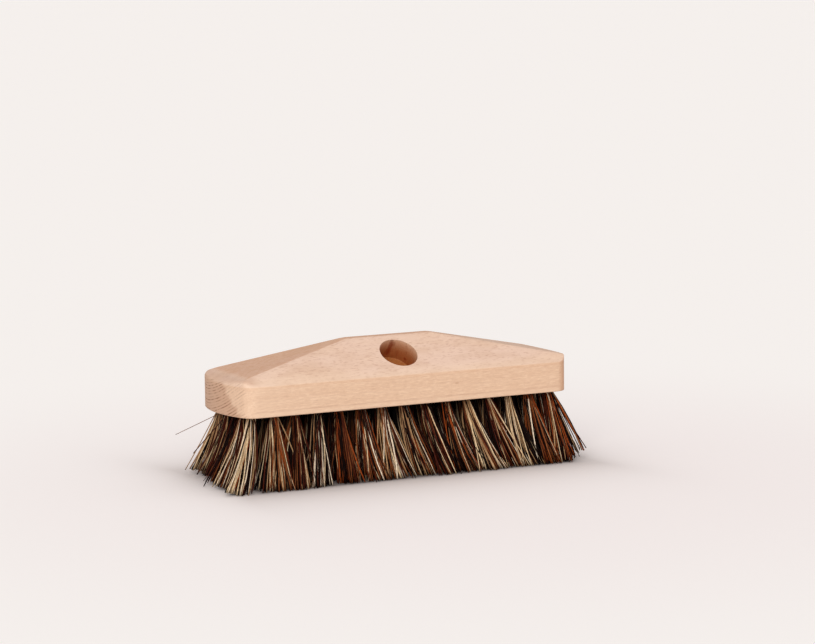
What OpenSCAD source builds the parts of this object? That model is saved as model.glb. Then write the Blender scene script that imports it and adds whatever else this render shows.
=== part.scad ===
// Head of a wooden deck scrub brush, in millimetres, with +Z up and +X along the block.
// A hipped beech block has a slanted socket for a broom handle in its front slope.
// Tufts of stiff plant fibre fill blind holes in its underside. Each tuft is folded
// round a flat wire anchor, whose ends bite into the wood on both sides of the hole.
// The origin is on the floor under the middle of the block, and the tufts stand on z = 0.

/* [Block] */
// Length of the block between the middles of its bowed ends
block_l = 230; // [220:1:250]
// Width of the block between its two long walls
block_w = 66; // [62:1:76]
// Height of the long walls, from the underside to the foot of the slopes
wall_h = 18.5; // [17:0.5:24]
// Pitch of the two long slopes
slope_angle = 35; // [30:1:38]
// Width of the flat strip along the ridge
ridge_w = 6; // [4:0.5:10]
// Length of the level ridge between the two hips
ridge_l = 58; // [48:1:76]
// Fall of a hip from the ridge to the middle of the end wall
hip_drop = 18; // [14:0.5:19]
// Radius of the bowed ends, seen from above
end_bow_r = 80; // [60:1:120]
// Radius of the four upright corners
corner_r = 9; // [5:0.5:14]

/* [Handle socket] */
// Bore of the socket
socket_d = 24; // [20:0.5:26]
// Depth of the socket along its own axis
socket_depth = 15; // [10:0.5:16]
// Distance of the socket's mouth in front of the middle of the ridge
socket_y = 16.4; // [15:0.1:18]

/* [Tuft holes] */
// Number of tufts along the block
tuft_cols = 15; // [11:1:15]
// Number of tufts across the block
tuft_rows = 5; // [4:1:5]
// Distance from the middle of an end wall to the outermost hole centres
hole_end_margin = 13.5; // [12:0.5:18]
// Distance from a long wall to the outermost hole centres
hole_side_margin = 12; // [9:0.5:13]
// Bore of a tuft hole
hole_d = 5.5; // [5:0.1:6]
// Depth of a tuft hole
hole_depth = 9; // [8:0.5:10]

/* [Tufts] */
// Length of bristle that shows below the block
bristle_h = 43; // [36:1:52]
// Strands in a tuft, each one standing for a bunch of fibres
strands = 6; // [4:1:6]
// Gap between the packed root of a tuft and the wall of its hole
root_gap = 0.05; // [0.02:0.01:0.1]
// How far a tuft's root swells out of its hole
root_swell = 0.3; // [0.2:0.05:0.5]
// How far the strands start inside the edge of the packed root
strand_inset = 0.25; // [0.15:0.05:0.4]
// Half the gap between neighbouring strands where they leave the hole
strand_gap = 0.13; // [0.1:0.01:0.2]
// Size of a strand at its bend and tip, from its middle to a corner
strand_r = 1.45; // [1:0.05:1.6]
// Radius of the ring that the strands of a tuft make at their tips
fan_r = 5.2; // [4:0.1:5.4]
// Random shift of each strand's tip
tip_wander = 0.5; // [0:0.1:0.6]
// How far the tips of the end tufts lean out past their roots
end_splay = 15; // [8:0.5:18]
// How far the tips of the front and back tufts lean out past their roots
side_splay = 10; // [8:0.5:12]
// Rise of the trimmed tips from the middle of the brush to its end tufts
end_lift = 4; // [2:0.5:6]
// Depth by which the floor cuts the trimmed tips flat
tip_flat = 0.5; // [0.3:0.1:0.8]

/* [Anchors] */
// How far each end of the flat wire anchor bites into the wood beside its hole
anchor_bite = 0.75; // [0.5:0.05:1.2]
// Height of the anchor's flat side
anchor_h = 2.2; // [1.6:0.1:3]
// Thickness of the anchor's wire
anchor_t = 0.5; // [0.3:0.1:0.8]
// Gap between the anchor's flat sides and the wood or fibre beside them
anchor_gap = 0.03; // [0.02:0.01:0.05]
// Thickness of the fibre that is folded over the anchor
fold_t = 1.9; // [1.4:0.1:2.4]

/* [Hidden] */
$fn = 96;
overcut = 1;

under_z = bristle_h;
ridge_h = wall_h + (block_w - ridge_w) / 2 * tan(slope_angle);

bow_x = block_l / 2 - end_bow_r;
corner_y = block_w / 2 - corner_r;
corner_x = bow_x + sqrt(pow(end_bow_r - corner_r, 2) - pow(corner_y, 2));
bow_y = corner_y * end_bow_r / (end_bow_r - corner_r);

socket_z = under_z + wall_h + (block_w / 2 - socket_y) * tan(slope_angle);

hole_x = block_l / 2 - hole_end_margin;
hole_y = block_w / 2 - hole_side_margin;
col_pitch = 2 * hole_x / (tuft_cols - 1);
row_pitch = 2 * hole_y / (tuft_rows - 1);
hole_top_z = under_z + hole_depth;
anchor_l = hole_d + 2 * anchor_bite;
anchor_z = hole_top_z - fold_t - anchor_h / 2;

root_d = hole_d - 2 * root_gap;
mouth_r = root_d / 2 - strand_inset;

sector = 360 / strands;
root_overlap = 1.5;
bend_at = 0.45;
bend_lean = 0.4;
bend_spread = 0.55;
lift_power = 4;

function numbered(name, n) = str(name, n < 10 ? "0" : "", n);
tuft_nodes = [for (n = [1 : tuft_cols]) numbered("tufts_col_", n)];
anchor_nodes = [for (n = [1 : tuft_cols]) numbered("anchors_col_", n)];

// Place of a hole's centre, by its column and row
function hole_at(c, r) = [c * col_pitch - hole_x, r * row_pitch - hole_y];

// Lean of a tuft's tip past its root, for a root at p
function splay(p) = [end_splay * sin(90 * p[0] / hole_x), side_splay * p[1] / hole_y];

// Height of a tuft's trimmed tips, which rise towards the ends and are cut flat at the floor
function tip_z(x) = max(0, end_lift * pow(abs(x) / hole_x, lift_power) - tip_flat);

function polar(r, a) = [r * cos(a), r * sin(a)];

// The three corners of a strand at angle a where it leaves the hole: a slice of a disc,
// less the gaps beside it
function root_corners(a) =
    let (turn_in = asin(strand_gap / mouth_r))
    [
        polar(strand_gap / sin(sector / 2), a),
        polar(mouth_r, a - sector / 2 + turn_in),
        polar(mouth_r, a + sector / 2 - turn_in)
    ];

// The three corners of a strand at angle a, round the point p
function round_corners(a, p) = [for (j = [0 : 2]) p + polar(strand_r, a + 180 + 120 * j)];

function at_z(points, z) = [for (p = points) [p[0], p[1], z]];

function mean(a, b, t) = a * (1 - t) + b * t;

// Outline from above: two bowed ends, joined to the straight walls by round corners
module plan() {
    square([2 * corner_x, block_w], center = true);
    for (side = [-1, 1]) {
        intersection() {
            translate([side * bow_x, 0]) circle(r = end_bow_r);
            translate([side * block_l / 4, 0]) square([block_l / 2, 2 * bow_y], center = true);
        }
        for (y = [-corner_y, corner_y]) translate([side * corner_x, y]) circle(r = corner_r);
    }
}

// Outline from the end: upright walls, two slopes and the ridge strip
module end_profile() {
    polygon([
        [-block_w / 2, 0], [block_w / 2, 0], [block_w / 2, wall_h],
        [ridge_w / 2, ridge_h], [-ridge_w / 2, ridge_h], [-block_w / 2, wall_h]
    ]);
}

// Outline from the front: the level ridge and the two hips that fall to the ends
module front_profile() {
    polygon([
        [-block_l / 2, 0], [block_l / 2, 0], [block_l / 2, ridge_h - hip_drop],
        [ridge_l / 2, ridge_h], [-ridge_l / 2, ridge_h], [-block_l / 2, ridge_h - hip_drop]
    ]);
}

module hipped_form() {
    translate([0, 0, under_z]) intersection() {
        linear_extrude(height = ridge_h) plan();
        rotate([90, 0, 90]) translate([0, 0, -block_l / 2]) linear_extrude(height = block_l) end_profile();
        rotate([90, 0, 0]) translate([0, 0, -block_w / 2]) linear_extrude(height = block_w) front_profile();
    }
}

// The socket stands square to the front slope, and its floor is flat
module socket_bore() {
    translate([0, -socket_y, socket_z]) rotate([slope_angle, 0, 0])
        translate([0, 0, -socket_depth]) cylinder(d = socket_d, h = socket_depth + overcut);
}

module at_hole(c, r) {
    translate(concat(hole_at(c, r), 0)) children();
}

module tuft_hole() {
    translate([0, 0, under_z - overcut]) cylinder(d = hole_d, h = hole_depth + overcut);
}

// Room for an anchor: its own length and height, and a little more than its thickness
module anchor_room() {
    translate([0, 0, anchor_z]) cube([anchor_l, anchor_t + 2 * anchor_gap, anchor_h], center = true);
}

module block() {
    color([0.88, 0.74, 0.62]) difference() {
        hipped_form();
        socket_bore();
        for (c = [0 : tuft_cols - 1]) for (r = [0 : tuft_rows - 1]) at_hole(c, r) {
            tuft_hole();
            anchor_room();
        }
    }
}

// One strand at angle a of its tuft, from inside the root, over a bend, to its flat tip
module strand(a, lean, low_z, seed) {
    fan = polar(fan_r, a) + rands(-tip_wander, tip_wander, 2, seed);
    bend_z = mean(under_z, low_z, bend_at);
    root = root_corners(a);
    bend = round_corners(a, lean * bend_lean + fan * bend_spread);
    tip = round_corners(a, lean + fan);
    polyhedron(
        points = concat(
            at_z(root, under_z + root_overlap),
            at_z(root, under_z),
            at_z(bend, bend_z),
            at_z(tip, low_z)
        ),
        faces = concat(
            [[0, 2, 1], [9, 10, 11]],
            [for (s = [0 : 2]) for (j = [0 : 2]) [3 * s + j, 3 * s + 3 + (j + 1) % 3, 3 * s + 3 + j]],
            [for (s = [0 : 2]) for (j = [0 : 2]) [3 * s + j, 3 * s + (j + 1) % 3, 3 * s + 3 + (j + 1) % 3]]
        )
    );
}

// The packed root that fills the hole and is folded round the anchor
module tuft_root() {
    difference() {
        translate([0, 0, under_z - root_swell])
            cylinder(d = root_d, h = hole_depth + root_swell);
        anchor_room();
    }
}

// A whole tuft. Each one is turned differently, so that the rows look hand-filled
module tuft(c, r) {
    p = hole_at(c, r);
    seed = 100 * c + 10 * r;
    turn = rands(0, sector, 1, seed)[0];
    at_hole(c, r) {
        tuft_root();
        for (k = [0 : strands - 1]) strand(turn + k * sector, splay(p), tip_z(p[0]), seed + k);
    }
}

module tuft_column(c) {
    color([0.45, 0.33, 0.22]) for (r = [0 : tuft_rows - 1]) tuft(c, r);
}

module anchor() {
    translate([0, 0, anchor_z]) cube([anchor_l, anchor_t, anchor_h], center = true);
}

module anchor_column(c) {
    color([0.72, 0.72, 0.7]) for (r = [0 : tuft_rows - 1]) at_hole(c, r) anchor();
}

block();
for (c = [0 : tuft_cols - 1]) tuft_column(c);
for (c = [0 : tuft_cols - 1]) anchor_column(c);
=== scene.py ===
import logging
import math
from dataclasses import dataclass
from enum import Enum

import bmesh
import bpy
import numpy as np
from mathutils import Matrix, Vector


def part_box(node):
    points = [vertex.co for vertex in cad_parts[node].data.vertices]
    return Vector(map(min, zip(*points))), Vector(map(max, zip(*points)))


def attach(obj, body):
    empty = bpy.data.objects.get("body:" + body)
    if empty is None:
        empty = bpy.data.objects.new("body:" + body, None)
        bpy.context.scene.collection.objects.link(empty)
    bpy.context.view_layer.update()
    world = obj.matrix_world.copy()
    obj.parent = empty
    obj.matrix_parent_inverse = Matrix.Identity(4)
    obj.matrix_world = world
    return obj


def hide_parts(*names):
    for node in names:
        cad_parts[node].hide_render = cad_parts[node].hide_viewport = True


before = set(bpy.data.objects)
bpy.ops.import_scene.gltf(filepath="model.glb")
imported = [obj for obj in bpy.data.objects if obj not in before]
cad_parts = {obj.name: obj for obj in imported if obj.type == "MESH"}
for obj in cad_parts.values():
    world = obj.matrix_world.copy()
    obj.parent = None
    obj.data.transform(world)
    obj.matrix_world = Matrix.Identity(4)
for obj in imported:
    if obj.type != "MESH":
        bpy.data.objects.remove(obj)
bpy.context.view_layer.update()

LOG = logging.getLogger("scrub_brush")

MM = 0.001
BODY = "root"
PICTURE_WIDTH = 815
SENSOR_MM = 36.0
# Points closer than this are merged, and faces thinner than this are dropped
MERGE_MM = 0.01
SLIVER_MM = 0.001

Rgb = tuple[int, int, int]
Triple = tuple[float, float, float]
Span = tuple[float, float]
Socket = bpy.types.NodeSocket


class Slot(Enum):
    """Names of two material slots, beech and fibre."""

    BEECH = "beech"
    FIBRE = "fibre"


class Hair(Enum):
    """The kinds of fibre in a tuft, in the order of the ramp that colours them."""

    BLACK = 0
    UMBER = 1
    BROWN = 2
    RUST = 3
    TAN = 4
    CREAM = 5
    STRAW = 6


class End(Enum):
    """The end of the brush that a column of tufts is at, as the sign of its place along X."""

    LEFT = -1
    NEITHER = 0
    RIGHT = 1


# Helpers


def linear(rgb: Rgb) -> tuple[float, float, float, float]:
    """Turns a display colour into a scene colour.

    Args:
        rgb: red, green and blue from 0 to 255.

    Returns:
        The same colour in linear light, with an alpha of 1.
    """
    parts = [c / 255 for c in rgb]
    light = [c / 12.92 if c <= 0.04045 else ((c + 0.055) / 1.055) ** 2.4 for c in parts]
    return (*light, 1.0)


def soft_min(a: np.ndarray, b: np.ndarray, reach: float) -> np.ndarray:
    """The lower of two heights, rounded where they meet.

    Within reach of each other the two are blended by a parabola, which lies a quarter of reach
    under the point where they are equal.

    Args:
        a: first heights.
        b: second heights.
        reach: difference below which the two blend.

    Returns:
        The blended lower heights.
    """
    near = np.maximum(reach - np.abs(a - b), 0.0) / reach
    return np.minimum(a, b) - near**2 * reach / 4


def unit_at(angle: np.ndarray) -> np.ndarray:
    """Unit vectors at the given angles from X: their cosines and sines, of shape (n, 2)."""
    return np.stack([np.cos(angle), np.sin(angle)], -1)


def steps_along(run: float, grain: float) -> int:
    """Number of points on a stretch, about a grain apart and at least three."""
    return max(3, round(run / grain))


def nearest(points: np.ndarray, centres: np.ndarray) -> np.ndarray:
    """Number of the centre that is nearest to each point."""
    return ((points[:, None] - centres[None]) ** 2).sum(-1).argmin(1)


def at_height(flat: np.ndarray, height: np.ndarray | float) -> np.ndarray:
    """Points of shape (..., 3) from places of shape (..., 2) and their heights."""
    return np.concatenate([flat, np.broadcast_to(height, flat.shape[:-1])[..., None]], -1)


def mirrored(quarter: np.ndarray) -> np.ndarray:
    """A whole loop from its first quarter, which ends on the Y axis.

    Args:
        quarter: points or normals of shape (n, 2).

    Returns:
        The same, followed by their mirror images in the other three quarters.
    """
    half = np.concatenate([quarter, quarter[::-1][1:] * (-1, 1)])
    return np.concatenate([half, half[::-1][1:-1] * (1, -1)])


def mesh_object(name: str, points: np.ndarray, faces: list, smooth: bool = True) -> bpy.types.Object:
    """Makes a mesh object, linked to the scene, from points in millimetres.

    Args:
        name: the object's name.
        points: array of shape (n, 3), in millimetres.
        faces: arrays of shape (m, 3) or (m, 4) of point numbers, wound so that they face outwards.
        smooth: whether the faces are shaded smooth.

    Returns:
        The new object, at the origin.
    """
    mesh = bpy.data.meshes.new(name)
    sizes = np.concatenate([np.full(len(f), f.shape[1], np.int32) for f in faces])
    corners = np.concatenate([f.ravel() for f in faces]).astype(np.int32)
    starts = np.concatenate([[0], np.cumsum(sizes)[:-1]]).astype(np.int32)
    mesh.vertices.add(len(points))
    mesh.vertices.foreach_set("co", (points * MM).astype(np.float32).ravel())
    mesh.loops.add(len(corners))
    mesh.loops.foreach_set("vertex_index", corners)
    mesh.polygons.add(len(sizes))
    mesh.polygons.foreach_set("loop_start", starts)
    mesh.polygons.foreach_set("loop_total", sizes)
    mesh.polygons.foreach_set("use_smooth", np.full(len(sizes), smooth))
    mesh.update(calc_edges=True)
    mesh.validate()
    made = bpy.data.objects.new(name, mesh)
    bpy.context.scene.collection.objects.link(made)
    return made


def grid_faces(rows: int, columns: int) -> np.ndarray:
    """Quads between the points of a grid whose rows are closed loops, numbered row by row.

    Args:
        rows: number of rows of points.
        columns: number of points in a row.

    Returns:
        Array of shape (m, 4) of point numbers.
    """
    across = np.arange(columns)
    ahead = (across + 1) % columns
    row = np.arange(rows - 1)[:, None] * columns
    corners = [row + across, row + ahead, row + columns + ahead, row + columns + across]
    return np.stack(corners, -1).reshape(-1, 4)


def turned_solid(name: str, profile: list, turn: int, places: list) -> bpy.types.Object:
    """Copies of a solid that is turned about Z: each point of the profile goes round a circle.

    Args:
        name: the object's name.
        profile: (radius, height) points from the bottom on the axis to the top on the axis.
        turn: number of sides.
        places: 4 by 4 matrices, one for each copy, in millimetres.

    Returns:
        The object.
    """
    angle = np.arange(turn) * 2 * math.pi / turn
    rings = np.array([[(r * math.cos(a), r * math.sin(a), z) for a in angle] for r, z in profile[1:-1]])
    low, high = (0, 0, profile[0][1]), (0, 0, profile[-1][1])
    points = np.concatenate([rings.reshape(-1, 3), [low, high]])
    around = np.arange(turn)
    ahead = (around + 1) % turn
    last = (len(rings) - 1) * turn
    base = np.stack([np.full(turn, len(points) - 2), ahead, around], -1)
    lid = np.stack([np.full(turn, len(points) - 1), last + around, last + ahead], -1)
    turned = [points @ place[:3, :3].T + place[:3, 3] for place in places]
    shift = np.arange(len(places))[:, None, None] * len(points)
    quads = (grid_faces(len(rings), turn) + shift).reshape(-1, 4)
    caps = (np.concatenate([base, lid]) + shift).reshape(-1, 3)
    return mesh_object(name, np.concatenate(turned), [quads, caps], smooth=False)


def box_solids(name: str, centres: np.ndarray, size: Triple) -> bpy.types.Object:
    """Boxes of one size: each centre plus or minus half the size.

    Args:
        name: the object's name.
        centres: array of shape (n, 3), in millimetres.
        size: length, width and height of a box.

    Returns:
        The object.
    """
    signs = np.array([(i, j, k) for i in (-1, 1) for j in (-1, 1) for k in (-1, 1)])
    corners = signs * np.array(size) / 2
    faces = np.array([(0, 1, 3, 2), (4, 6, 7, 5), (0, 4, 5, 1), (2, 3, 7, 6), (0, 2, 6, 4), (1, 5, 7, 3)])
    shift = np.arange(len(centres))[:, None, None] * len(corners)
    points = (centres[:, None, :] + corners).reshape(-1, 3)
    return mesh_object(name, points, [(faces + shift).reshape(-1, 4)], smooth=False)


def tidy_mesh(piece: bpy.types.Object) -> None:
    """Merges points that lie together, drops what has no area and turns all faces outwards.

    Args:
        piece: the piece, whose mesh is changed.
    """
    bm = bmesh.new()
    bm.from_mesh(piece.data)
    bmesh.ops.remove_doubles(bm, verts=bm.verts, dist=MERGE_MM * MM)
    bmesh.ops.dissolve_degenerate(bm, edges=bm.edges, dist=SLIVER_MM * MM)
    bmesh.ops.recalc_face_normals(bm, faces=bm.faces)
    bm.to_mesh(piece.data)
    bm.free()


def cut(piece: bpy.types.Object, cutter: bpy.types.Object) -> None:
    """Takes the cutter's volume out of the piece, and deletes the cutter.

    Args:
        piece: the piece, which gets a new mesh.
        cutter: a closed solid.
    """
    bpy.context.view_layer.update()
    hole = piece.modifiers.new("cut", "BOOLEAN")
    hole.operation = "DIFFERENCE"
    hole.solver = "MANIFOLD"
    hole.object = cutter
    graph = bpy.context.evaluated_depsgraph_get()
    result = bpy.data.meshes.new_from_object(piece.evaluated_get(graph))
    piece.modifiers.clear()
    old = piece.data
    piece.data = result
    bpy.data.meshes.remove(old)
    bpy.data.objects.remove(cutter)


class Nodes:
    """A material's node tree, built by short calls."""

    def __init__(self, name: str) -> None:
        """Makes a material with a Principled shader.

        Args:
            name: the material's name.
        """
        self.material = bpy.data.materials.new(name)
        self.material.use_nodes = True
        self.tree = self.material.node_tree
        self.shader = self.tree.nodes["Principled BSDF"]

    def add(self, kind: str, values: dict | None = None, **settings: object) -> bpy.types.Node:
        """Adds a node.

        Args:
            kind: the node's type name without the ShaderNode prefix.
            values: socket name or number to a value, or to an output socket to link from.
            settings: the node's own settings.

        Returns:
            The new node.
        """
        node = self.tree.nodes.new("ShaderNode" + kind)
        for key, value in settings.items():
            setattr(node, key, value)
        for key, value in (values or {}).items():
            self.put(node.inputs[key], value)
        return node

    def put(self, socket: Socket, value: object) -> None:
        """Links an output to a socket, or sets the socket's own value.

        Args:
            socket: the input.
            value: an output socket, a number, a vector or a colour.
        """
        if isinstance(value, bpy.types.NodeSocket):
            self.tree.links.new(value, socket)
        else:
            socket.default_value = value

    def dress(self, values: dict[str, object]) -> bpy.types.Material:
        """Fills in the shader.

        Args:
            values: input name to an output socket, a number or a colour.

        Returns:
            The finished material.
        """
        for key, value in values.items():
            self.put(self.shader.inputs[key], value)
        return self.material

    def math(self, operation: str, *values: object) -> Socket:
        """The result of a Math node on the given numbers or sockets."""
        return self.add("Math", dict(enumerate(values)), operation=operation).outputs[0]

    def vector(self, operation: str, *values: object) -> Socket:
        """The result of a Vector Math node on the given vectors or sockets."""
        return self.add("VectorMath", dict(enumerate(values)), operation=operation).outputs[0]

    def product(self, value: Socket, *others: object) -> Socket:
        """A value times the others, one after the other.

        Args:
            value: the first factor.
            others: the other factors, as numbers or sockets.

        Returns:
            The product.
        """
        for other in others:
            value = self.math("MULTIPLY", value, other)
        return value

    def between(self, share: Socket, none: float, all_of_it: float) -> Socket:
        """A number that goes straight from none, where share is 0, to all_of_it, where it is 1."""
        return self.math("MULTIPLY_ADD", share, all_of_it - none, none)

    def step(self, value: Socket, low: float, high: float, to_low: float = 0.0,
             to_high: float = 1.0) -> Socket:
        """A smooth step of value from to_low, at low, to to_high, at high."""
        values = {"Value": value, "From Min": low, "From Max": high, "To Min": to_low, "To Max": to_high}
        return self.add("MapRange", values, interpolation_type="SMOOTHSTEP").outputs[0]

    def fading(self, away: Socket) -> Socket:
        """A share that falls with distance, from 1, by a factor of e for each unit."""
        return self.math("POWER", math.exp(-1), away)

    def noise(self, vector: Socket, scale: float, detail: float = 2.0, roughness: float = 0.5) -> Socket:
        """The value of a three-dimensional noise at a vector."""
        values = {"Vector": vector, "Scale": scale, "Detail": detail, "Roughness": roughness}
        return self.add("TexNoise", values).outputs[0]

    def blend(self, share: object, first: object, second: object) -> Socket:
        """Lays one colour over another.

        Args:
            share: how much of the second colour shows.
            first: the colour below.
            second: the colour on top.

        Returns:
            The blended colour.
        """
        node = self.add("Mix", data_type="RGBA")
        for key, value in ((0, share), (6, first), (7, second)):
            self.put(node.inputs[key], value)
        return node.outputs[2]

    def layers(self, colour: object, layers: list) -> Socket:
        """Lays display colours over each other.

        Args:
            colour: the ground colour, in linear light.
            layers: (share, display colour) pairs, the lowest first.

        Returns:
            The blended colour.
        """
        for share, shade in layers:
            colour = self.blend(share, colour, linear(shade))
        return colour

    def ramp(self, value: Socket, stops: list, steps: bool = False) -> Socket:
        """A colour ramp.

        Args:
            value: where on the ramp, from 0 to 1.
            stops: (place, display colour) pairs.
            steps: whether the colour jumps from stop to stop.

        Returns:
            The colour.
        """
        node = self.add("ValToRGB", {0: value})
        node.color_ramp.interpolation = "CONSTANT" if steps else "LINEAR"
        for spare in list(node.color_ramp.elements)[1:]:
            node.color_ramp.elements.remove(spare)
        for number, (place, shade) in enumerate(stops):
            stop = node.color_ramp.elements[0] if number == 0 else node.color_ramp.elements.new(place)
            stop.position = place
            stop.color = linear(shade)
        return node.outputs[0]

    def bump(self, height: Socket, strength: float, depth: float) -> Socket:
        """The normal of a surface with a fine relief, up to depth millimetres high."""
        return self.add("Bump", {"Strength": strength, "Distance": depth * MM, "Height": height}).outputs[0]

    def attribute(self, name: str) -> Socket:
        """The value of one of the mesh's own attributes."""
        return self.add("Attribute", attribute_name=name).outputs["Fac"]

    def millimetres(self) -> Socket:
        """Object coordinates in millimetres."""
        return self.stretched(self.add("TexCoord").outputs["Object"], (1 / MM,) * 3)

    def axes(self, vector: Socket) -> tuple[Socket, Socket, Socket]:
        """The three parts of a vector."""
        return tuple(self.add("SeparateXYZ", {0: vector}).outputs)

    def length(self, vector: Socket) -> Socket:
        """The length of a vector."""
        return self.add("VectorMath", {0: vector}, operation="LENGTH").outputs["Value"]

    def stretched(self, vector: Socket, scale: Triple) -> Socket:
        """The vector scaled along each axis, so that a pattern on it is drawn out."""
        return self.add("Mapping", {"Vector": vector, "Scale": scale}).outputs[0]

    def local(self, vector: Socket, centre: Triple, size: Triple = (1, 1, 1), tilt: float = 0.0) -> Socket:
        """The vector in a frame at centre, tilted about X, with its axes measured in size."""
        values = {"Vector": vector, "Location": centre, "Rotation": (tilt, 0, 0), "Scale": size}
        return self.add("Mapping", values, vector_type="TEXTURE").outputs[0]

    def mark(self, vector: Socket, centre: Triple, half: Triple, tilt: float = 0.0) -> Socket:
        """A spot with a ragged edge: the distance from its centre, plus a noise, steps from 1 to 0.

        Args:
            vector: place in millimetres.
            centre: the spot's centre.
            half: its half sizes.
            tilt: its tilt about X, in radians.

        Returns:
            1 inside the spot and 0 outside.
        """
        away = self.length(self.local(vector, centre, half, tilt))
        ragged = self.math("ADD", self.noise(vector, 1.1, 3.0, 0.6), away)
        return self.step(ragged, 0.9, 1.7, 1.0, 0.0)


# Finishes


@dataclass(frozen=True)
class Grain:
    """A drawn-out cloudy pattern, with its fineness along each axis in waves per millimetre."""

    fineness: Triple
    detail: float = 2.0
    roughness: float = 0.5

    def at(self, n: Nodes, place: Socket) -> Socket:
        """The pattern's value at a place in millimetres."""
        return n.noise(n.stretched(place, self.fineness), 1.0, self.detail, self.roughness)


@dataclass(frozen=True)
class Tear:
    """A torn spot on the socket's wall: its angle and depth, half sizes and strength."""

    angle: float
    depth: float
    half: Triple
    share: float


@dataclass(frozen=True)
class Wood:
    """What the marks in the wood are drawn from, as sockets in one material.

    The place is in millimetres. Upward and endward are how far a face looks up and to an end, and
    the patterns and the mask of the roof run from 0 to 1.
    """

    place: Socket
    x: Socket
    y: Socket
    z: Socket
    upward: Socket
    endward: Socket
    drift: Socket
    bands: Socket
    lines: Socket
    fine: Socket
    dashes: Socket
    roof: Socket


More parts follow.
